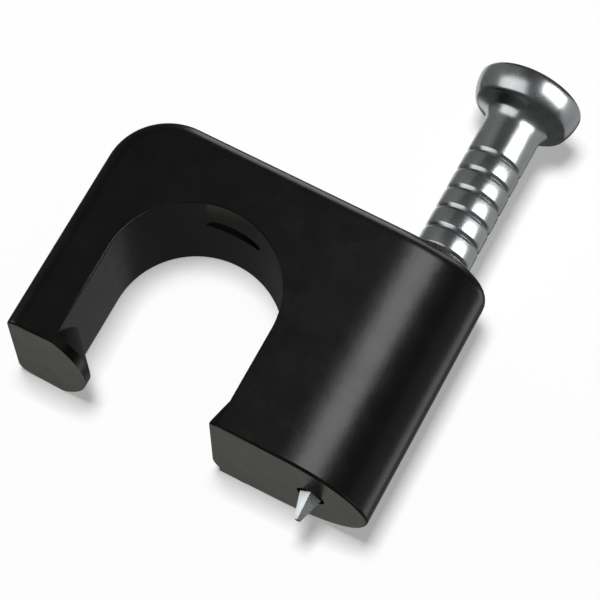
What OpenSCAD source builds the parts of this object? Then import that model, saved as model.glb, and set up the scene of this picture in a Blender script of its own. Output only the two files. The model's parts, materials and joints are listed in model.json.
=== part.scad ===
// Nail-in cable clip: a one-piece moulded hook with a nail boss, and the ring-grip nail fitted in it.
// Millimetres. The origin is on the nail's axis in the wall plane, +Z runs from the wall to the
// nail's head, the hook reaches out towards -X and the cable lies along Y.

/* [Cable seat] */
// Width of the seat between the hook's leg and the boss
seat_w = 7.2; // [5:0.1:11]
// Height of the seat's crown above the wall
seat_h = 8.1; // [6.2:0.1:13]

/* [Clip] */
// Depth of the clip along the cable
clip_depth = 5.6; // [4.6:0.1:9]
// Thickness of the crown over the seat
crown_t = 2.7; // [1.6:0.1:4]
// Thickness of the hook's leg
leg_t = 2.1; // [1.4:0.1:3.5]
// Radius of the hook's outer corner, seen along the cable
corner_r = 2.65; // [1.6:0.05:4]
// Rounding of the outer edges, round the hook and over the boss
edge_r = 0.7; // [0.3:0.05:1.4]
// Distance from the nail's axis to the seat's near wall
nail_offset = 4.1; // [3:0.1:6]
// Shift of the boss's round end from the nail's axis towards the seat
boss_shift = 0.35; // [0:0.05:0.8]

/* [Retaining nib] */
// Reach of the nib from the leg, at the middle of its bow
nib_reach = 1.25; // [0.5:0.05:2]
// Height of the nib's upright edge
nib_h = 0.4; // [0.2:0.05:1.2]
// Height of the slope from that edge back to the leg
nib_slope_h = 1.3; // [0.6:0.05:2]

/* [Toe of the boss] */
// Reach of the toe past the seat's near wall
toe_reach = 0.28; // [0.1:0.02:0.6]
// Height of the toe up that wall
toe_h = 1.1; // [0.5:0.05:2]
// Rounding of the toe's far corner in plan
toe_r = 1.2; // [0.4:0.05:2]

/* [Relief in the crown] */
// Depth of the relief over the seat's crown
relief_d = 0.3; // [0.1:0.05:0.8]
// Width of the relief along the cable
relief_w = 0.75; // [0.4:0.05:1.5]
// Distance of the relief's middle from the clip's middle plane
relief_y = 0.7; // [0:0.05:1.2]
// Angle round the seat that the relief takes up
relief_angle = 40; // [20:1:80]

/* [Nail] */
// Diameter of the nail's shank
nail_d = 2.45; // [1.8:0.05:3]
// Length of the nail from under its head to its tip
nail_len = 19.2; // [16:0.1:30]
// How far the nail's tip stands out of the boss
tip_out = 1.1; // [0.6:0.05:1.6]
// Length of the point's facets
point_len = 6; // [4:0.1:8]
// Width of the flat that blunts the tip
tip_flat = 0.2; // [0.1:0.02:0.3]
// Diameter of the nail's head
head_d = 4.55; // [3.8:0.05:6]
// Height of the head from its underside to its upper edge
head_h = 1.5; // [1.4:0.05:2.6]
// Rounding of the head's upper edge
head_r = 0.25; // [0.1:0.05:0.5]
// Height of the taper under the head's rim
taper_h = 0.7; // [0.4:0.05:0.9]
// How far the taper goes in from the rim
taper_in = 0.7; // [0.3:0.05:0.8]
// Rise of the dome on the head
dome_h = 0.4; // [0.1:0.05:0.6]
// Length of the flared neck under the head
neck_h = 0.7; // [0.3:0.05:1.2]
// Flare of the neck past the shank
neck_flare = 0.27; // [0.1:0.01:0.4]

/* [Grip rings] */
// Distance from under the head to the first ring
ring_start = 2.2; // [1.2:0.1:4]
// Distance from ring to ring
ring_pitch = 0.94; // [0.6:0.02:1.6]
// Number of rings
ring_count = 9; // [3:1:12]
// Width of a ring's groove
ring_w = 0.26; // [0.16:0.02:0.5]
// Depth of a ring's groove
ring_d = 0.08; // [0.04:0.02:0.2]

/* [Fit of the nail] */
// Clearance round the nail in its bore
bore_clear = 0.03; // [0.01:0.01:0.1]
// Diameter of the hole that the point leaves by
exit_d = 1.2; // [1:0.05:2]

/* [Hidden] */
$fn = 96;
// Overrun of a cutter past the face it opens
cut = 1;

clip_h = seat_h + crown_t;
seat_r = seat_w / 2;
near_wall_x = -nail_offset;
seat_x = near_wall_x - seat_r;
seat_z = seat_h - seat_r;
leg_in_x = near_wall_x - seat_w;
leg_out_x = leg_in_x - leg_t;
corner_x = leg_out_x + corner_r;
corner_z = clip_h - corner_r;
boss_r = clip_depth / 2;
boss_x = -boss_shift;

// The nib's bow starts and ends at the leg's front and back edges
nib_bow_r = (nib_reach * nib_reach + boss_r * boss_r) / (2 * nib_reach);
nib_bow_x = leg_in_x + nib_reach - nib_bow_r;

// The relief is a round cutter that runs out of the crown at the ends of its angle
relief_end_z = seat_r * cos(relief_angle / 2);
relief_top = seat_r + relief_d;
relief_up = (relief_top * relief_top - seat_r * seat_r) / (2 * (relief_top - relief_end_z));
relief_cut_r = relief_top - relief_up;

nail_r = nail_d / 2;
under_head_z = nail_len - tip_out;
bore_r = nail_r + bore_clear;
// The point has four facets, and its corners spread this much for each millimetre up
corner_slope = sqrt(2) * nail_r / point_len;
// Its facets would meet this far below the wall plane
apex_out = tip_out + tip_flat / 2 * point_len / nail_r;
exit_r = max(exit_d / 2, corner_slope * apex_out + bore_clear);
exit_top_z = (exit_r - bore_clear) / corner_slope - apex_out;
point_top_z = point_len / sqrt(2) - apex_out;
facet_angle = atan(nail_r / point_len);
dome_base_r = head_d / 2 - head_r;
dome_r = (dome_base_r * dome_base_r + dome_h * dome_h) / (2 * dome_h);

// Section of the hook's band: X out from its middle, Y along the cable, with both outer edges rounded
module band_section() {
    union() {
        translate([0, -boss_r])
            square([corner_r - edge_r, clip_depth]);
        translate([0, edge_r - boss_r])
            square([corner_r, clip_depth - 2 * edge_r]);
        for (side = [-1, 1])
            translate([corner_r - edge_r, side * (boss_r - edge_r)])
                circle(r = edge_r);
    }
}

// The band goes up the leg, turns the outer corner and runs along the crown to the boss
module hook_band() {
    translate([corner_x, 0, 0])
        mirror([1, 0, 0])
            linear_extrude(height = corner_z)
                band_section();
    translate([corner_x, 0, corner_z])
        rotate([90, 0, 0])
            rotate_extrude()
                band_section();
    translate([corner_x, 0, corner_z])
        rotate([0, 0, 90])
            rotate([90, 0, 0])
                linear_extrude(height = boss_x - corner_x)
                    rotate([0, 0, 90])
                        band_section();
    translate([corner_x, -boss_r, 0])
        cube([boss_x - corner_x, clip_depth, corner_z]);
}

// Full-round end of the clip that carries the nail, with its top edge rounded like the band's
module boss() {
    translate([boss_x, 0, 0])
        rotate_extrude()
            union() {
                square([boss_r - edge_r, clip_h]);
                square([boss_r, clip_h - edge_r]);
                translate([boss_r - edge_r, clip_h - edge_r])
                    intersection() {
                        circle(r = edge_r);
                        square(edge_r);
                    }
            }
}

// Arch and mouth that the cable goes into
module seat_cut() {
    translate([seat_x, 0, seat_z])
        rotate([90, 0, 0])
            cylinder(r = seat_r, h = clip_depth + 2 * cut, center = true);
    translate([leg_in_x, -boss_r - cut, -cut])
        cube([seat_w, clip_depth + 2 * cut, seat_z + cut]);
}

// Shallow relief across the crown of the arch, on its front half
module relief_cut() {
    translate([seat_x, -relief_y, seat_z + relief_up])
        rotate([90, 0, 0])
            cylinder(r = relief_cut_r, h = relief_w, center = true);
}

// Bowed nib at the leg's foot, upright at its edge and sloping back to the leg above it
module nib() {
    intersection() {
        translate([nib_bow_x, 0, 0])
            union() {
                cylinder(r = nib_bow_r, h = nib_h);
                translate([0, 0, nib_h])
                    cylinder(r1 = nib_bow_r, r2 = nib_bow_r - nib_reach, h = nib_slope_h);
            }
        translate([leg_in_x - leg_t / 2, -boss_r, 0])
            cube([leg_t / 2 + nib_reach, clip_depth, nib_h + nib_slope_h]);
    }
}

// Toe that widens the boss at the wall, with its far corner rounded
module toe() {
    toe_x = near_wall_x - toe_reach;
    root = boss_x - near_wall_x;
    intersection() {
        linear_extrude(height = toe_h)
            union() {
                translate([toe_x, -boss_r])
                    square([toe_reach + root, clip_depth - toe_r]);
                translate([toe_x + toe_r, -boss_r])
                    square([toe_reach + root - toe_r, clip_depth]);
                translate([toe_x + toe_r, boss_r - toe_r])
                    circle(r = toe_r);
            }
        translate([0, boss_r, 0])
            rotate([90, 0, 0])
                linear_extrude(height = clip_depth)
                    polygon([
                        [toe_x, 0],
                        [boss_x, 0],
                        [boss_x, toe_h],
                        [near_wall_x, toe_h],
                    ]);
    }
}

// Bore for the nail, drawn in to a small exit that the point wedges into
module bore_cut() {
    rotate_extrude()
        polygon([
            [0, -cut],
            [exit_r, -cut],
            [exit_r, exit_top_z],
            [bore_r, point_top_z],
            [bore_r, clip_h + cut],
            [0, clip_h + cut],
        ]);
}

module clip_body() {
    color([0.06, 0.06, 0.06])
        difference() {
            union() {
                difference() {
                    union() {
                        hook_band();
                        boss();
                    }
                    seat_cut();
                    relief_cut();
                }
                nib();
                toe();
            }
            bore_cut();
        }
}

// Four flat cuts that bring the shank to a blunt point
module point_facets() {
    reach = point_len + nail_d;
    for (turn = [45:90:315])
        rotate([0, 0, turn])
            translate([0, 0, -apex_out])
                rotate([0, facet_angle, 0])
                    translate([0, -reach, -reach])
                        cube([reach, 2 * reach, 2 * reach]);
}

// Grip rings rolled into the shank
module grip_grooves() {
    for (i = [0 : ring_count - 1])
        translate([0, 0, under_head_z - ring_start - i * ring_pitch])
            rotate_extrude()
                polygon([
                    [nail_r - ring_d, 0],
                    [nail_r + ring_d, ring_w],
                    [nail_r + ring_d, -ring_w],
                ]);
}

// Low domed head: a rounded upper edge, an upright rim and a taper down to the neck
module nail_head() {
    translate([0, 0, under_head_z])
        rotate_extrude()
            union() {
                polygon([
                    [0, 0],
                    [head_d / 2 - taper_in, 0],
                    [head_d / 2, taper_h],
                    [head_d / 2, head_h - head_r],
                    [dome_base_r, head_h - head_r],
                    [dome_base_r, head_h],
                    [0, head_h],
                ]);
                translate([dome_base_r, head_h - head_r])
                    intersection() {
                        circle(r = head_r);
                        square(head_r);
                    }
                translate([0, head_h])
                    intersection() {
                        translate([0, dome_h - dome_r])
                            circle(r = dome_r);
                        square([dome_base_r, dome_h]);
                    }
            }
}

// The neck's flare runs on into the head
module nail() {
    color([0.66, 0.68, 0.7]) {
        difference() {
            union() {
                translate([0, 0, -tip_out])
                    cylinder(r = nail_r, h = nail_len);
                translate([0, 0, under_head_z - neck_h])
                    cylinder(r1 = nail_r, r2 = nail_r + 2 * neck_flare, h = 2 * neck_h);
            }
            point_facets();
            grip_grooves();
        }
        nail_head();
    }
}

clip_body();
nail();
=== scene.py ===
"""Nail-in cable clip: a black moulded hook and boss with its ring-grip nail."""

import json
import logging
import math
from collections.abc import Iterable, Sequence
from dataclasses import dataclass
from enum import Enum

import bmesh
import bpy
from bmesh.types import BMEdge, BMesh, BMVert
from mathutils import Matrix, Vector


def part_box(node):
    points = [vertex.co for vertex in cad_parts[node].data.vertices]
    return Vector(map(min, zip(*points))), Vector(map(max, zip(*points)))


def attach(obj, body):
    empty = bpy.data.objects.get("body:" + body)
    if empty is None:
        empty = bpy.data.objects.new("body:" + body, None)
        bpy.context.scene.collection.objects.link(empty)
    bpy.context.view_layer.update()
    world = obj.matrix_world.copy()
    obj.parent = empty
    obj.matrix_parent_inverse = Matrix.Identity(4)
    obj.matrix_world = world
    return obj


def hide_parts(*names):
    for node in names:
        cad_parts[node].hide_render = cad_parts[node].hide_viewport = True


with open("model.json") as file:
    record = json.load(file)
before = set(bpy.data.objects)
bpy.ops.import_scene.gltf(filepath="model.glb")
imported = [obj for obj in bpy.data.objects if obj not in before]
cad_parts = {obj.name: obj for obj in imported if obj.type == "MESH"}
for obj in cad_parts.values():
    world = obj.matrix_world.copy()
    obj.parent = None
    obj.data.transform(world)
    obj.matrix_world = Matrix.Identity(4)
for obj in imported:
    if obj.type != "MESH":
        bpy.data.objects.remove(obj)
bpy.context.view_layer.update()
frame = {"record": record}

log = logging.getLogger("cable_clip")

MM = 0.001
BODY = "root"
# Distances within which points are one, lie in a plane, or close up after a full rounding.
MERGE = 0.0005 * MM
NEAR = 0.001 * MM
WELD = 0.002 * MM
# Share of a full rounding's radius, and least upright part of a level face's normal.
ALMOST = 0.9998
FLAT = 0.99999
# Angle in degrees past which an edge is a crease.
CREASE = 38.0
UP = Vector((0.0, 0.0, 1.0))
# Direction to sort along, askew to the clip so that few of its points tie.
ORDER = Vector((1.0, 0.7549, 0.5698))

Point = tuple[float, float]
Colour = tuple[float, float, float]


class Slot(Enum):
    """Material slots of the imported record."""

    BLACK_PLASTIC = "black_plastic"
    ZINC_STEEL = "zinc_steel"


class Join(Enum):
    """Ways in which one solid is worked into another."""

    ADD = "UNION"
    CUT = "DIFFERENCE"


def bevel(
    bm: BMesh, geom: Sequence[BMEdge | BMVert], radius: float, steps: int, corners: bool = False
) -> None:
    """Round edges, or the corners of a flat outline, with a circular profile.

    Args:
        bm: Mesh that is worked on.
        geom: Edges, or vertices where corners is true.
        radius: Radius of the rounding in metres.
        steps: Faces across the rounding.
        corners: Whether vertices are rounded instead of edges.
    """
    bmesh.ops.bevel(
        bm,
        geom=list(geom),
        offset=radius,
        offset_type="OFFSET",
        affect="VERTICES" if corners else "EDGES",
        segments=steps,
        profile=0.5,
        material=-1,
        clamp_overlap=False,
    )


def settle(bm: BMesh) -> None:
    """Put a mesh's elements in order of place, so that the next step starts the same in every run.

    Args:
        bm: Mesh that is sorted.
    """
    bm.verts.sort(key=lambda vert: vert.co.dot(ORDER))
    bm.edges.sort(key=lambda edge: (edge.verts[0].co + edge.verts[1].co).dot(ORDER))
    bm.faces.sort(key=lambda face: face.calc_center_median().dot(ORDER))
    mesh = bpy.data.meshes.new("settled")
    bm.to_mesh(mesh)
    bm.clear()
    bm.from_mesh(mesh)
    bpy.data.meshes.remove(mesh)


def tidy(bm: BMesh) -> None:
    """Merge doubles, drop faces without area, turn every face outwards and settle the order.

    Args:
        bm: Mesh that is worked on.
    """
    bmesh.ops.remove_doubles(bm, verts=bm.verts[:], dist=MERGE)
    bmesh.ops.dissolve_degenerate(bm, edges=bm.edges[:], dist=MERGE)
    bmesh.ops.recalc_face_normals(bm, faces=bm.faces[:])
    settle(bm)


def sharp(bm: BMesh, least: float = math.radians(40.0)) -> list[BMEdge]:
    """Edges where two faces meet at more than an angle.

    Args:
        bm: Mesh to look through.
        least: Smallest angle between the faces, in radians.

    Returns:
        The edges.
    """
    return [edge for edge in bm.edges if edge.is_manifold and edge.calc_face_angle() > least]


def slice_off(bm: BMesh, point: Vector, outwards: Vector) -> None:
    """Cut off what lies on the outer side of a plane and close the cut.

    Args:
        bm: Closed mesh that is cut.
        point: A point of the plane.
        outwards: The plane's normal, on the side that goes.
    """
    geom = bm.verts[:] + bm.edges[:] + bm.faces[:]
    cut = bmesh.ops.bisect_plane(
        bm, geom=geom, plane_co=point, plane_no=outwards, clear_outer=True, dist=NEAR
    )
    rim = [item for item in cut["geom_cut"] if isinstance(item, BMEdge)]
    bmesh.ops.edgeloop_fill(bm, edges=rim)
    tidy(bm)


def lathe(outline: Iterable[Point], steps: int) -> BMesh:
    """Turn an outline once round the Z axis.

    Args:
        outline: Radius and height of each point, from axis to axis.
        steps: Faces round the axis.

    Returns:
        The turned solid.
    """
    bm = bmesh.new()
    points = [bm.verts.new((radius, 0.0, height)) for radius, height in outline]
    edges = [bm.edges.new(pair) for pair in zip(points, points[1:])]
    turn = 2.0 * math.pi
    bmesh.ops.spin(bm, geom=points + edges, axis=UP, cent=(0, 0, 0), angle=turn, steps=steps, use_merge=True)
    tidy(bm)
    return bm


def arc(centre: Point, radius: float, start: float, end: float, steps: int) -> list[Point]:
    """Points along a circular arc of an outline.

    Args:
        centre: Radius and height of the arc's centre.
        radius: Radius of the arc.
        start: First angle in degrees, from the outward direction.
        end: Last angle in degrees.
        steps: Stretches along the arc.

    Returns:
        Radius and height of each point.
    """
    angles = [math.radians(start + (end - start) * i / steps) for i in range(steps + 1)]
    return [(centre[0] + radius * math.cos(a), centre[1] + radius * math.sin(a)) for a in angles]


def piece_from(bm: BMesh, name: str) -> bpy.types.Object:
    """Make an object at the origin from a mesh under work.

    Args:
        bm: Mesh that is finished and freed.
        name: Name of the object and its mesh.

    Returns:
        The new object, in the scene.
    """
    mesh = bpy.data.meshes.new(name)
    bm.to_mesh(mesh)
    bm.free()
    piece = bpy.data.objects.new(name, mesh)
    bpy.context.scene.collection.objects.link(piece)
    return piece


def combine(piece: bpy.types.Object, tool: BMesh, join: Join) -> None:
    """Add a solid to a piece or cut it out of the piece.

    Args:
        piece: Object whose mesh is worked on.
        tool: Closed solid, used up.
        join: Whether the solid is added or cut out.
    """
    other = piece_from(tool, piece.name + "_tool")
    step = piece.modifiers.new(join.name.lower(), "BOOLEAN")
    step.object = other
    step.operation = join.value
    step.solver = "EXACT"
    graph = bpy.context.evaluated_depsgraph_get()
    worked = bpy.data.meshes.new_from_object(piece.evaluated_get(graph))
    before, used = piece.data, other.data
    piece.modifiers.clear()
    piece.data = worked
    bpy.data.objects.remove(other)
    bpy.data.meshes.remove(before)
    bpy.data.meshes.remove(used)
    worked.name = piece.name


def shade(piece: bpy.types.Object) -> None:
    """Shade a piece smooth, with creases only at its sharp edges.

    Args:
        piece: Object to shade.
    """
    mesh = piece.data
    mesh.polygons.foreach_set("use_smooth", [True] * len(mesh.polygons))
    mesh.set_sharp_from_angle(angle=math.radians(CREASE))
    flats = piece.modifiers.new("flats", "WEIGHTED_NORMAL")
    flats.keep_sharp = True
    flats.weight = 100


@dataclass
class ClipBody:
    """The black moulding: hook, arched seat, nib, toe and the boss with the nail's bore."""

    low: Vector
    high: Vector
    seat: Vector
    seat_r: float
    leg: float = 2.1 * MM
    corner_r: float = 2.65 * MM
    edge_r: float = 0.7 * MM
    boss_shift: float = 0.35 * MM
    soft_r: float = 0.13 * MM
    arch_r: float = 0.06 * MM
    ease_start: float = -1.6 * MM
    ease_power: float = 2.2
    ease_cuts: int = 10
    nib_reach: float = 1.25 * MM
    nib_edge: float = 0.4 * MM
    nib_slope: float = 1.3 * MM
    toe_reach: float = 0.28 * MM
    toe_top: float = 1.1 * MM
    toe_r: float = 1.2 * MM
    relief_deep: float = 0.3 * MM
    relief_wide: float = 0.75 * MM
    relief_y: float = -0.7 * MM
    relief_turn: float = 40.0
    bore_r: float = 1.255 * MM
    exit_r: float = 0.6 * MM
    exit_top: float = 0.384 * MM
    bore_foot: float = 2.653 * MM
    arc_steps: int = 32
    edge_steps: int = 8
    soft_steps: int = 3
    nib_steps: int = 256
    bore_steps: int = 96
    relief_steps: int = 192

    @classmethod
    def from_frame(cls) -> "ClipBody":
        """Take the moulding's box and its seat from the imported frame.

        Returns:
            The moulding with its sizes.
        """
        low, high = (Vector(corner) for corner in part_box("clip_body"))
        seat = next(mount for mount in frame["record"]["mounts"] if mount["name"] == "cable_seat")
        return cls(low, high, Vector(seat["pos_m"]), seat["dims"]["r_mm"] * MM)

    @property
    def half(self) -> float:
        """Half of the depth along the cable."""
        return (self.high.y - self.low.y) / 2.0

    @property
    def leg_in(self) -> float:
        """Place of the leg's inner wall along X."""
        return self.seat.x - self.seat_r

    @property
    def near_wall(self) -> float:
        """Place of the boss's wall beside the seat, along X."""
        return self.seat.x + self.seat_r

    @property
    def end_x(self) -> float:
        """Place of the boss's round end along X."""
        return self.half - self.boss_shift

    @property
    def seat_top(self) -> float:
        """Height of the arch over the wall."""
        return self.seat.z + self.seat_r

    def _outline(self) -> BMesh:
        """Draw the clip as seen along the cable, with its round corners.

        Returns:
            One flat face at the front.
        """
        corners = (
            (self.low.x, 0.0),
            (self.low.x, self.high.z),
            (self.end_x, self.high.z),
            (self.end_x, 0.0),
            (self.near_wall, 0.0),
            (self.near_wall, self.seat_top),
            (self.leg_in, self.seat_top),
            (self.leg_in, 0.0),
        )
        bm = bmesh.new()
        points = [bm.verts.new((x, -self.half, z)) for x, z in corners]
        bm.faces.new(points)
        arch = [points[5], points[6]]
        bevel(bm, [points[1]], self.corner_r, self.arc_steps, corners=True)
        bevel(bm, arch, self.seat_r * ALMOST, self.arc_steps, corners=True)
        bmesh.ops.remove_doubles(bm, verts=bm.verts[:], dist=WELD)
        settle(bm)
        return bm

    def _outer(self, edge: BMEdge) -> bool:
        """Tell the edges that run round the outside of the hook and the boss's top.

        Args:
            edge: Edge of the pulled outline.

        Returns:
            Whether it is one of them.
        """
        middle = (edge.verts[0].co + edge.verts[1].co) / 2.0
        in_seat = self.leg_in - NEAR < middle.x < self.near_wall + NEAR and middle.z < self.seat_top + NEAR
        return middle.z > NEAR and not in_seat

    def _on_base(self, edge: BMEdge) -> bool:
        """Whether an edge lies in the wall plane."""
        return all(vert.co.z < NEAR for vert in edge.verts)

    def _rooted(self, edge: BMEdge) -> bool:
        """Tell the edges of the base that the nib or the toe grows out of.

        Args:
            edge: Edge in the wall plane.

        Returns:
            Whether it is one of them.
        """
        one, two = (vert.co.x for vert in edge.verts)
        roots, least = (self.leg_in, self.near_wall), NEAR + self.arch_r
        return any(max(abs(one - x), abs(two - x)) < least for x in roots)

    def _band(self) -> BMesh:
        """Pull the outline out to its depth and round the boss and the edges.

        Returns:
            Hook and boss as one closed solid.
        """
        bm = self._outline()
        pulled = bmesh.ops.extrude_face_region(bm, geom=bm.faces[:])
        back = [item for item in pulled["geom"] if isinstance(item, BMVert)]
        bmesh.ops.translate(bm, verts=back, vec=(0.0, 2.0 * self.half, 0.0))
        tidy(bm)
        ends = [e for e in sharp(bm) if min(v.co.x for v in e.verts) > self.end_x - NEAR]
        upright = [e for e in ends if abs(e.verts[0].co.z - e.verts[1].co.z) > self.edge_r]
        bevel(bm, upright, self.half * ALMOST, self.arc_steps)
        bmesh.ops.remove_doubles(bm, verts=bm.verts[:], dist=WELD)
        tidy(bm)
        bevel(bm, [e for e in sharp(bm) if self._outer(e)], self.edge_r, self.edge_steps)
        tidy(bm)
        bevel(bm, [e for e in sharp(bm) if not self._on_base(e)], self.arch_r, self.soft_steps)
        tidy(bm)
        free = [e for e in sharp(bm) if self._on_base(e) and not self._rooted(e)]
        bevel(bm, free, self.soft_r, self.soft_steps)
        tidy(bm)
        self._ease(bm)
        return bm

    def _ease(self, bm: BMesh) -> None:
        """Let the front and back run into the boss's round end without a hard start.

        Args:
            bm: Hook and boss, whose sides are drawn in a little towards the end.
        """
        axis = -self.boss_shift
        for i in range(self.ease_cuts):
            x = self.ease_start + (axis - self.ease_start) * i / self.ease_cuts
            geom = bm.verts[:] + bm.edges[:] + bm.faces[:]
            bmesh.ops.bisect_plane(bm, geom=geom, plane_co=(x, 0, 0), plane_no=(1, 0, 0), dist=NEAR)
        reach = self.end_x - self.ease_start
        for vert in bm.verts:
            along = (vert.co.x - self.ease_start) / reach
            if not 0.0 < along < 1.0:
                continue
            round_y = math.sqrt(max(self.half**2 - max(vert.co.x - axis, 0.0) ** 2, 0.0))
            eased_y = self.half * math.sqrt(1.0 - along**self.ease_power)
            if round_y > NEAR:
                vert.co.y *= eased_y / round_y
        bm.normal_update()
        flat = [e for e in bm.edges if all(abs(face.normal.z) > FLAT for face in e.link_faces)]
        bmesh.ops.dissolve_edges(bm, edges=flat, use_verts=True)
        settle(bm)

    def _nib(self) -> BMesh:
        """Turn the bowed nib at the leg's foot and trim it to the leg.

        Returns:
            The nib with a root inside the leg.
        """
        bow = (self.nib_reach**2 + self.half**2) / (2.0 * self.nib_reach)
        top = self.nib_edge + self.nib_slope
        foot = ((0.0, 0.0), (bow, 0.0), (bow, self.nib_edge))
        bm = lathe((*foot, (bow - self.nib_reach, top), (0.0, top)), self.nib_steps)
        bmesh.ops.translate(bm, verts=bm.verts[:], vec=(self.leg_in + self.nib_reach - bow, 0.0, 0.0))
        slice_off(bm, Vector((self.leg_in - self.leg / 4.0, 0.0, 0.0)), Vector((-1.0, 0.0, 0.0)))
        end = self.half - self.soft_r / 2.0
        for side in (-1.0, 1.0):
            slice_off(bm, Vector((0.0, side * end, 0.0)), Vector((0.0, side, 0.0)))
        return bm

    def _toe(self) -> BMesh:
        """Shape the toe that widens the boss at the wall.

        Returns:
            The toe with a root inside the boss.
        """
        root = self.toe_r
        size = (self.toe_reach + root, 2.0 * self.half - 2.0 * NEAR, self.toe_top)
        bm = bmesh.new()
        bmesh.ops.create_cube(bm, size=1.0)
        bmesh.ops.scale(bm, verts=bm.verts[:], vec=size)
        middle = (self.near_wall - self.toe_reach + size[0] / 2.0, 0.0, size[2] / 2.0)
        bmesh.ops.translate(bm, verts=bm.verts[:], vec=middle)
        far = [e for e in bm.edges if all(v.co.x < self.near_wall and v.co.y > 0.0 for v in e.verts)]
        bevel(bm, far, self.toe_r, self.arc_steps // 2)
        front = [e for e in bm.edges if all(v.co.z < NEAR and v.co.y < 0.0 for v in e.verts)]
        bevel(bm, front, self.soft_r, self.soft_steps)
        foot = Vector((self.near_wall - self.toe_reach, 0.0, 0.0))
        slice_off(bm, foot, Vector((-self.toe_top, 0.0, self.toe_reach)).normalized())
        return bm

    def _bore(self) -> BMesh:
        """Turn the nail's bore, drawn in to its small exit.

        Returns:
            The cutter, past both faces.
        """
        over = self.edge_r
        return lathe(
            (
                (0.0, -over),
                (self.exit_r, -over),
                (self.exit_r, self.exit_top),
                (self.bore_r, self.bore_foot),
                (self.bore_r, self.high.z + over),
                (0.0, self.high.z + over),
            ),
            self.bore_steps,
        )

    def _relief(self) -> BMesh:
        """Turn the cutter of the shallow relief across the arch's crown.

        Returns:
            The cutter in place.
        """
        end = self.seat_r * math.cos(math.radians(self.relief_turn / 2.0))
        top = self.seat_r + self.relief_deep
        rise = (top**2 - self.seat_r**2) / (2.0 * (top - end))
        radius, half, deep = top - rise, self.relief_wide / 2.0, self.relief_deep
        wall = ((0.0, half), (radius, half), (radius, deep - half))
        bm = lathe((*wall, (radius - deep, -half), (0.0, -half)), self.relief_steps)
        lay = Matrix.Rotation(math.pi / 2.0, 3, "X")
        bmesh.ops.rotate(bm, verts=bm.verts[:], cent=(0, 0, 0), matrix=lay)
        bmesh.ops.translate(bm, verts=bm.verts[:], vec=(self.seat.x, self.relief_y, self.seat.z + rise))
        return bm

    def build(self) -> bpy.types.Object:
        """Build the moulding in place of its node.

        Returns:
            The finished piece.
        """
        piece = piece_from(self._band(), "moulded_clip")
        combine(piece, self._nib(), Join.ADD)
        combine(piece, self._toe(), Join.ADD)
        combine(piece, self._relief(), Join.CUT)
        combine(piece, self._bore(), Join.CUT)
        shade(piece)
        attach(piece, BODY)
        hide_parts("clip_body")
        return piece

    def dress(self, piece: bpy.types.Object, finish: "MouldedPlastic") -> None:
        """Give the moulding its finish.

        Args:
            piece: The moulding.
            finish: Its plastic.
        """
        piece.data.materials.clear()
        piece.data.materials.append(finish.material())


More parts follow.
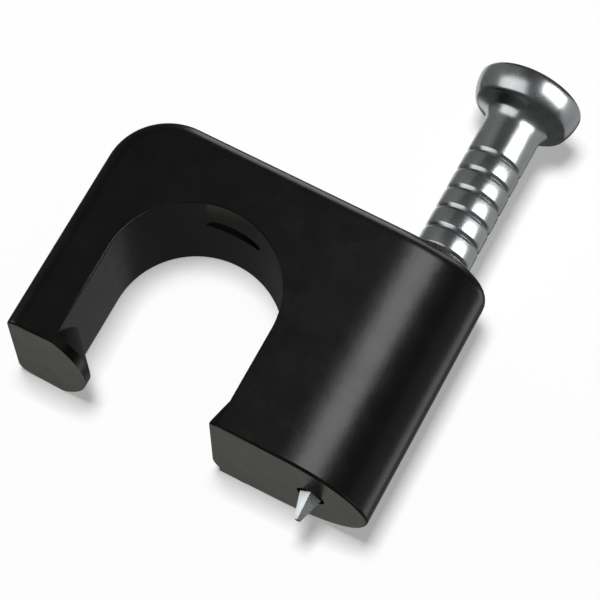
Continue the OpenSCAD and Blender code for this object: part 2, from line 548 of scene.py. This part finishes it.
@dataclass
class Nail:
    """The ring-grip nail: domed head, flared neck, grooved shank and four-faceted point."""

    low: Vector
    high: Vector
    shank_r: float = 1.225 * MM
    point: float = 6.0 * MM
    tip_flat: float = 0.2 * MM
    length: float = 19.2 * MM
    head_r: float = 2.275 * MM
    head_tall: float = 1.5 * MM
    head_round: float = 0.25 * MM
    dome: float = 0.4 * MM
    side_r: float = 2.0 * MM
    side_turn: float = 26.0
    heel_r: float = 0.3 * MM
    heel_turn: float = 75.0
    neck: float = 0.6 * MM
    neck_r: float = 0.9 * MM
    neck_turn: float = 40.0
    ring_start: float = 2.2 * MM
    ring_pitch: float = 0.94 * MM
    rings: int = 9
    ring_wide: float = 0.26 * MM
    ring_deep: float = 0.08 * MM
    lip: float = 0.035 * MM
    lip_turn: float = 25.0
    facets: tuple[float, ...] = (45.0, 135.0, 225.0, 315.0)
    steps: int = 96
    arc_steps: int = 8
    side_steps: int = 10
    heel_steps: int = 6
    lip_steps: int = 2

    @classmethod
    def from_frame(cls) -> "Nail":
        """Take the nail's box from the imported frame."""
        low, high = (Vector(corner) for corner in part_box("nail"))
        return cls(low, high)

    @property
    def under_head(self) -> float:
        """Height of the head's underside."""
        return self.low.z + self.length

    def _outline(self) -> list[Point]:
        """Draw half of the nail's section, from its foot up to the top of its head.

        Returns:
            Radius and height of each point.
        """
        shank, deep, wide = self.shank_r, self.ring_deep, self.ring_wide / 2.0
        points = [(0.0, self.low.z), (shank, self.low.z)]
        for i in reversed(range(self.rings)):
            z = self.under_head - self.ring_start - i * self.ring_pitch
            points += [(shank, z - wide), (shank - deep, z), (shank, z + wide)]
        return points + self._head()

    def _head(self) -> list[Point]:
        """Draw the flared neck and the head, from the neck's foot to the top of the dome.

        Returns:
            Radius and height of each point.
        """
        top = self.under_head + self.head_tall
        rim = top - self.head_round
        inner = self.head_r - self.head_round
        lean = math.radians(self.side_turn)
        neck = (self.shank_r + self.neck_r, self.under_head - self.neck)
        points = arc(neck, self.neck_r, 180.0, 180.0 - self.neck_turn, self.arc_steps)
        side = arc((self.head_r - self.side_r, rim), self.side_r, -self.side_turn, 0.0, self.side_steps)
        heel = (side[0][0] - self.heel_r * math.cos(lean), side[0][1] + self.heel_r * math.sin(lean))
        points += arc(heel, self.heel_r, -self.heel_turn, -self.side_turn, self.heel_steps)
        points += side[1:]
        points += arc((inner, rim), self.head_round, 0.0, 90.0, self.arc_steps)[1:]
        dome_r = (inner**2 + self.dome**2) / (2.0 * self.dome)
        slope = math.degrees(math.asin(inner / dome_r))
        crown = (0.0, top + self.dome - dome_r)
        points += arc(crown, dome_r, 90.0 - slope, 90.0, self.arc_steps)[1:-1]
        points.append((0.0, top + self.dome))
        return points

    def _is_lip(self, edge: BMEdge) -> bool:
        """Tell the edges that are the lips of the grip rings.

        Args:
            edge: Sharp edge of the nail.

        Returns:
            Whether it is one of them.
        """
        first = self.under_head - self.ring_start + self.ring_pitch / 2.0
        last = first - self.rings * self.ring_pitch
        rim = self.shank_r - self.ring_deep / 2.0
        return all(last < vert.co.z < first and vert.co.xy.length > rim for vert in edge.verts)

    def build(self) -> bpy.types.Object:
        """Turn the nail and cut its point.

        Returns:
            The finished piece.
        """
        bm = lathe(self._outline(), self.steps)
        lean = math.atan(self.shank_r / self.point)
        apex = self.low.z - self.tip_flat / 2.0 * self.point / self.shank_r
        for turn in self.facets:
            facet = Vector((math.cos(lean), 0.0, -math.sin(lean)))
            facet.rotate(Matrix.Rotation(math.radians(turn), 3, "Z"))
            slice_off(bm, Vector((0.0, 0.0, apex)), facet)
        lips = [e for e in sharp(bm, math.radians(self.lip_turn)) if self._is_lip(e)]
        bevel(bm, lips, self.lip, self.lip_steps)
        tidy(bm)
        piece = piece_from(bm, "ring_nail")
        shade(piece)
        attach(piece, BODY)
        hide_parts("nail")
        return piece

    def dress(self, piece: bpy.types.Object, finish: "ZincPlate") -> None:
        """Give the nail its finish.

        Args:
            piece: The nail.
            finish: Its plated steel.
        """
        piece.data.materials.clear()
        piece.data.materials.append(finish.material())


def socket(
    group: bpy.types.ShaderNodeTree, name: str, into: bool, kind: str = "Float", value: float = 0.0
) -> None:
    """Add a named socket to a node group.

    Args:
        group: Group that gets the socket.
        name: Name of the socket.
        into: Whether it is an input.
        kind: Float, Color or Vector.
        value: Default of a float input.
    """
    way = "INPUT" if into else "OUTPUT"
    made = group.interface.new_socket(name=name, in_out=way, socket_type="NodeSocket" + kind)
    if into and kind == "Float":
        made.default_value = value


class SurfaceGrain:
    """Shared effect: broad mottling and fine grain over a surface, from Object coordinates."""

    NAME = "surface_grain"

    @classmethod
    def group(cls) -> bpy.types.ShaderNodeTree:
        """Build the group once.

        Returns:
            The node group.
        """
        if cls.NAME in bpy.data.node_groups:
            return bpy.data.node_groups[cls.NAME]
        group = bpy.data.node_groups.new(cls.NAME, "ShaderNodeTree")
        socket(group, "Vector", True, "Vector")
        socket(group, "Mottle Scale", True, value=600.0)
        socket(group, "Grain Scale", True, value=6000.0)
        socket(group, "Mottle", False)
        socket(group, "Grain", False)
        nodes, links = group.nodes, group.links
        into = nodes.new("NodeGroupInput")
        out = nodes.new("NodeGroupOutput")
        for name, detail in (("Mottle", 3.0), ("Grain", 2.0)):
            noise = nodes.new("ShaderNodeTexNoise")
            noise.inputs["Detail"].default_value = detail
            links.new(into.outputs["Vector"], noise.inputs["Vector"])
            links.new(into.outputs[name + " Scale"], noise.inputs["Scale"])
            links.new(noise.outputs["Fac"], out.inputs[name])
        return group


@dataclass(frozen=True)
class Finish:
    """Base of a finish: a Principled shader fed by the shared grain."""

    name: str
    dark: Colour
    light: Colour
    rough: tuple[float, float]
    metallic: float
    specular: float
    mottle_scale: float
    grain_scale: float
    bump: float
    uneven: float
    grain_deep: float = 0.02 * MM
    stretch: tuple[float, float, float] = (1.0, 1.0, 1.0)

    def material(self) -> bpy.types.Material:
        """Build the material.

        Returns:
            The node material.
        """
        material = bpy.data.materials.new(self.name)
        material.use_nodes = True
        nodes, links = material.node_tree.nodes, material.node_tree.links
        shader = nodes["Principled BSDF"]
        shader.inputs["Metallic"].default_value = self.metallic
        shader.inputs["Specular IOR Level"].default_value = self.specular
        place = nodes.new("ShaderNodeTexCoord")
        turn = nodes.new("ShaderNodeMapping")
        turn.inputs["Scale"].default_value = self.stretch
        grain = nodes.new("ShaderNodeGroup")
        grain.node_tree = SurfaceGrain.group()
        grain.inputs["Mottle Scale"].default_value = self.mottle_scale
        grain.inputs["Grain Scale"].default_value = self.grain_scale
        links.new(place.outputs["Object"], turn.inputs["Vector"])
        links.new(turn.outputs["Vector"], grain.inputs["Vector"])
        tone = nodes.new("ShaderNodeMix")
        tone.data_type = "RGBA"
        tone.inputs["A"].default_value = (*self.dark, 1.0)
        tone.inputs["B"].default_value = (*self.light, 1.0)
        links.new(grain.outputs["Mottle"], tone.inputs["Factor"])
        links.new(tone.outputs["Result"], shader.inputs["Base Color"])
        gloss = nodes.new("ShaderNodeMapRange")
        gloss.inputs["To Min"].default_value = self.rough[0]
        gloss.inputs["To Max"].default_value = self.rough[1]
        links.new(grain.outputs["Mottle"], gloss.inputs["Value"])
        links.new(gloss.outputs["Result"], shader.inputs["Roughness"])
        waves = nodes.new("ShaderNodeBump")
        waves.inputs["Strength"].default_value = 1.0
        waves.inputs["Distance"].default_value = self.uneven
        links.new(grain.outputs["Mottle"], waves.inputs["Height"])
        relief = nodes.new("ShaderNodeBump")
        relief.inputs["Strength"].default_value = self.bump
        relief.inputs["Distance"].default_value = self.grain_deep
        links.new(grain.outputs["Grain"], relief.inputs["Height"])
        links.new(waves.outputs["Normal"], relief.inputs["Normal"])
        links.new(relief.outputs["Normal"], shader.inputs["Normal"])
        return material


@dataclass(frozen=True)
class MouldedPlastic(Finish):
    """Satin black moulded plastic."""

    name: str = "moulded_black"
    dark: Colour = (0.0022, 0.0022, 0.002)
    light: Colour = (0.0052, 0.0052, 0.0047)
    rough: tuple[float, float] = (0.22, 0.32)
    metallic: float = 0.0
    specular: float = 0.5
    mottle_scale: float = 900.0
    grain_scale: float = 9000.0
    bump: float = 0.06
    uneven: float = 0.012 * MM


@dataclass(frozen=True)
class ZincPlate(Finish):
    """Bright zinc plate on drawn steel."""

    name: str = "zinc_plate"
    dark: Colour = (0.34, 0.37, 0.36)
    light: Colour = (0.67, 0.69, 0.71)
    rough: tuple[float, float] = (0.2, 0.32)
    metallic: float = 1.0
    specular: float = 0.5
    mottle_scale: float = 1500.0
    grain_scale: float = 5000.0
    bump: float = 0.05
    uneven: float = 0.005 * MM
    stretch: tuple[float, float, float] = (1.0, 1.0, 0.35)


@dataclass(frozen=True)
class Lamp:
    """A soft rectangular lamp, hung where a surface of the clip mirrors it to the camera.

    The surface is given by its turn from the front and its tilt upwards, in degrees, and by its height.
    """

    name: str
    turn: float
    tilt: float
    wide: float
    tall: float
    radiance: float
    up: float = 9.0 * MM
    far: float = 150.0 * MM


@dataclass(frozen=True)
class Fill:
    """A broad soft lamp for the sides that the photograph doesn't show."""

    name: str
    place: Vector
    radiance: float


BOSS_LAMPS = (
    Lamp("band_lamp", 13.6, 0.0, 66 * MM, 90 * MM, 4.1),
    Lamp("flank_lamp", 54.0, 0.0, 120 * MM, 110 * MM, 0.14),
    Lamp("rim_lamp", 69.5, 0.0, 54 * MM, 110 * MM, 0.85),
    Lamp("arch_lamp", 90.0, 0.0, 60 * MM, 60 * MM, 0.1),
)
NAIL_LAMPS = (
    Lamp("stripe_lamp", 30.5, -4.0, 146 * MM, 72 * MM, 5.0, up=13 * MM),
    Lamp("neck_lamp", -15.0, -19.0, 170 * MM, 115 * MM, 1.3),
    Lamp("fill_lamp", -35.0, 0.0, 260 * MM, 160 * MM, 0.12),
    Lamp("left_lamp", -68.0, 0.0, 80 * MM, 160 * MM, 0.7, up=14 * MM),
    Lamp("right_lamp", 64.0, 0.0, 230 * MM, 160 * MM, 0.32, up=14 * MM),
    Lamp("tip_lamp", -45.0, -11.5, 4 * MM, 4 * MM, 2.4, up=-0.5 * MM, far=10 * MM),
)
FILLS = (
    Fill("top_fill", Vector((0.0, 0.0, 300.0)) * MM, 2.0),
    Fill("left_fill", Vector((-300.0, -40.0, -50.0)) * MM, 1.0),
    Fill("right_fill", Vector((300.0, -20.0, -90.0)) * MM, 0.45),
)


@dataclass
class Studio:
    """White table, dim room, soft lamps and the photograph's camera."""

    table_y: float
    lens: float = 150.0
    sensor: float = 36.0
    eye: Vector = Vector((12.99, -92.85, -25.32)) * MM
    look: Vector = Vector((-0.1721, 0.9303, 0.324))
    side: Vector = Vector((0.883, 0.0, 0.469))
    heart: Vector = Vector((0.0, -2.0, 9.0)) * MM
    foot: Vector = Vector((-6.0, 0.0, 0.0)) * MM
    key_from: Vector = Vector((-0.1, -0.99, 0.035))
    key_far: float = 0.4
    key_size: tuple[float, float] = (100 * MM, 100 * MM)
    key_radiance: float = 40.0
    card_place: Vector = Vector((-7.5, 12.0, -5.4)) * MM
    card_size: tuple[float, float] = (32 * MM, 6.5 * MM)
    card_radiance: float = 0.3
    card_tint: Colour = (1.0, 1.0, 0.88)
    fill_size: tuple[float, float] = (200 * MM, 200 * MM)
    table_half: float = 0.6
    table_tone: float = 0.8
    table_glow: float = 0.35
    room_dim: float = 0.03
    gloss_front: float = 0.04
    gloss_back: float = 0.045

    def camera(self) -> None:
        """Set the camera at the photograph's place."""
        data = bpy.data.cameras.new("photo_camera")
        data.lens = self.lens
        data.sensor_width = self.sensor
        data.clip_start = 1.0 * MM
        data.clip_end = 10.0
        eye = bpy.data.objects.new("photo_camera", data)
        bpy.context.scene.collection.objects.link(eye)
        back = -self.look.normalized()
        over = back.cross(self.side).normalized()
        right = over.cross(back)
        turn = Matrix((right, over, back)).transposed().to_4x4()
        eye.matrix_world = Matrix.Translation(self.eye) @ turn
        bpy.context.scene.camera = eye

    def mirrored(self, turn: float, tilt: float) -> Vector:
        """Direction in which a surface mirrors the line of sight.

        Args:
            turn: Turn of the surface from the front towards +X, in degrees.
            tilt: Tilt of the surface towards +Z, in degrees.

        Returns:
            Unit vector away from the surface.
        """
        a, t = math.radians(turn), math.radians(tilt)
        faces = Vector((math.sin(a) * math.cos(t), -math.cos(a) * math.cos(t), math.sin(t)))
        return self.look.normalized().reflect(faces)

    def hang(
        self, name: str, place: Vector, aim: Vector, size: tuple[float, float], radiance: float
    ) -> bpy.types.Object:
        """Hang a soft rectangular lamp that faces a place on the clip.

        Args:
            name: Name of the lamp.
            place: Its middle, in metres.
            aim: Point that it faces.
            size: Width and height in metres.
            radiance: Brightness of its face, where 1 is white.

        Returns:
            The lamp.
        """
        data = bpy.data.lights.new(name, "AREA")
        data.shape = "RECTANGLE"
        data.size, data.size_y = size
        data.energy = radiance * math.pi * size[0] * size[1]
        lamp = bpy.data.objects.new(name, data)
        bpy.context.scene.collection.objects.link(lamp)
        lamp.location = place
        lamp.rotation_euler = (aim - place).to_track_quat("-Z", "Y").to_euler()
        lamp.visible_camera = False
        return lamp

    def glint(self, lamp: Lamp, piece: bpy.types.Object) -> None:
        """Hang a lamp that only shows as a reflection in one piece.

        Args:
            lamp: The lamp and the surface that mirrors it.
            piece: Piece that it shines on.
        """
        aim = Vector((0.0, self.heart.y, lamp.up))
        place = aim + self.mirrored(lamp.turn, lamp.tilt) * lamp.far
        self.link(self.hang(lamp.name, place, aim, (lamp.wide, lamp.tall), lamp.radiance), piece)

    def link(self, lamp: bpy.types.Object, piece: bpy.types.Object) -> None:
        """Let a lamp show only as a reflection in one piece.

        Args:
            lamp: The lamp.
            piece: Piece that it shines on.
        """
        lamp.visible_diffuse = False
        lit = bpy.data.collections.new(lamp.name + "_lights")
        lit.objects.link(piece)
        lamp.light_linking.receiver_collection = lit

    def build(self, moulding: bpy.types.Object, pin: bpy.types.Object) -> None:
        """Set up camera, table, room and lamps.

        Args:
            moulding: The clip's body.
            pin: The nail.
        """
        self.camera()
        self.table()
        self.room()
        start = self.heart + self.key_from * self.key_far
        key = self.hang("key_lamp", start, self.heart, self.key_size, self.key_radiance)
        key.visible_glossy = False
        for lamp in BOSS_LAMPS:
            self.glint(lamp, moulding)
        for lamp in NAIL_LAMPS:
            self.glint(lamp, pin)
        card = self.hang("base_card", self.card_place, self.foot, self.card_size, self.card_radiance)
        card.data.color = self.card_tint
        self.link(card, moulding)
        for fill in FILLS:
            hung = self.hang(fill.name, fill.place, self.foot, self.fill_size, fill.radiance)
            self.link(hung, moulding)

    def table(self) -> None:
        """Lay the white table that the clip lies on, seen from its front and not in reflections."""
        bm = bmesh.new()
        bmesh.ops.create_grid(bm, x_segments=1, y_segments=1, size=self.table_half)
        stand = Matrix.Rotation(math.pi / 2.0, 3, "X")
        bmesh.ops.rotate(bm, verts=bm.verts[:], cent=(0, 0, 0), matrix=stand)
        bmesh.ops.translate(bm, verts=bm.verts[:], vec=(0.0, self.table_y, 0.0))
        table = piece_from(bm, "white_table")
        for way in ("diffuse", "glossy", "transmission", "shadow"):
            setattr(table, "visible_" + way, False)
        material = bpy.data.materials.new("table_white")
        material.use_nodes = True
        nodes, links = material.node_tree.nodes, material.node_tree.links
        nodes.remove(nodes["Principled BSDF"])
        paper = nodes.new("ShaderNodeBsdfDiffuse")
        paper.inputs["Color"].default_value = (*(self.table_tone,) * 3, 1.0)
        glow = nodes.new("ShaderNodeEmission")
        glow.inputs["Strength"].default_value = self.table_glow
        both = nodes.new("ShaderNodeAddShader")
        under = nodes.new("ShaderNodeBsdfTransparent")
        back = nodes.new("ShaderNodeNewGeometry")
        seen = nodes.new("ShaderNodeMixShader")
        links.new(paper.outputs["BSDF"], both.inputs[0])
        links.new(glow.outputs["Emission"], both.inputs[1])
        links.new(back.outputs["Backfacing"], seen.inputs["Fac"])
        links.new(both.outputs["Shader"], seen.inputs[1])
        links.new(under.outputs["BSDF"], seen.inputs[2])
        links.new(seen.outputs["Shader"], nodes["Material Output"].inputs["Surface"])
        table.data.materials.append(material)

    def room(self) -> None:
        """Make the room white to the camera, and dim to the clip and in its reflections."""
        world = bpy.data.worlds.new("room")
        bpy.context.scene.world = world
        world.use_nodes = True
        nodes, links = world.node_tree.nodes, world.node_tree.links
        dim = nodes["Background"]
        dim.inputs["Color"].default_value = (*(self.room_dim,) * 3, 1.0)
        white = nodes.new("ShaderNodeBackground")
        white.inputs["Color"].default_value = (1.0, 1.0, 1.0, 1.0)
        path = nodes.new("ShaderNodeLightPath")
        place = nodes.new("ShaderNodeTexCoord")
        axes = nodes.new("ShaderNodeSeparateXYZ")
        share = nodes.new("ShaderNodeMapRange")
        share.inputs["From Min"].default_value = -1.0
        share.inputs["From Max"].default_value = 1.0
        share.inputs["To Min"].default_value = self.gloss_front
        share.inputs["To Max"].default_value = self.gloss_back
        gloss = nodes.new("ShaderNodeMath")
        gloss.operation = "MULTIPLY"
        seen = nodes.new("ShaderNodeMath")
        through = nodes.new("ShaderNodeMath")
        mix = nodes.new("ShaderNodeMixShader")
        links.new(place.outputs["Generated"], axes.inputs["Vector"])
        links.new(axes.outputs["Y"], share.inputs["Value"])
        links.new(share.outputs["Result"], gloss.inputs[0])
        links.new(path.outputs["Is Glossy Ray"], gloss.inputs[1])
        links.new(path.outputs["Is Camera Ray"], seen.inputs[0])
        links.new(path.outputs["Is Transmission Ray"], seen.inputs[1])
        links.new(seen.outputs["Value"], through.inputs[0])
        links.new(gloss.outputs["Value"], through.inputs[1])
        links.new(through.outputs["Value"], mix.inputs["Fac"])
        links.new(dim.outputs["Background"], mix.inputs[1])
        links.new(white.outputs["Background"], mix.inputs[2])
        links.new(mix.outputs["Shader"], nodes["World Output"].inputs["Surface"])


def main() -> None:
    """Build the clip, its nail and the studio, and log the number of faces of each piece."""
    logging.basicConfig(level=logging.INFO, format="%(name)s: %(message)s")
    bpy.context.scene.view_settings.view_transform = "Standard"
    clip = ClipBody.from_frame()
    moulding = clip.build()
    clip.dress(moulding, MouldedPlastic())
    log.info("%s: %d faces", moulding.name, len(moulding.data.polygons))
    nail = Nail.from_frame()
    pin = nail.build()
    nail.dress(pin, ZincPlate())
    log.info("%s: %d faces", pin.name, len(pin.data.polygons))
    Studio(table_y=clip.high.y).build(moulding, pin)


if __name__ == "__main__":
    main()
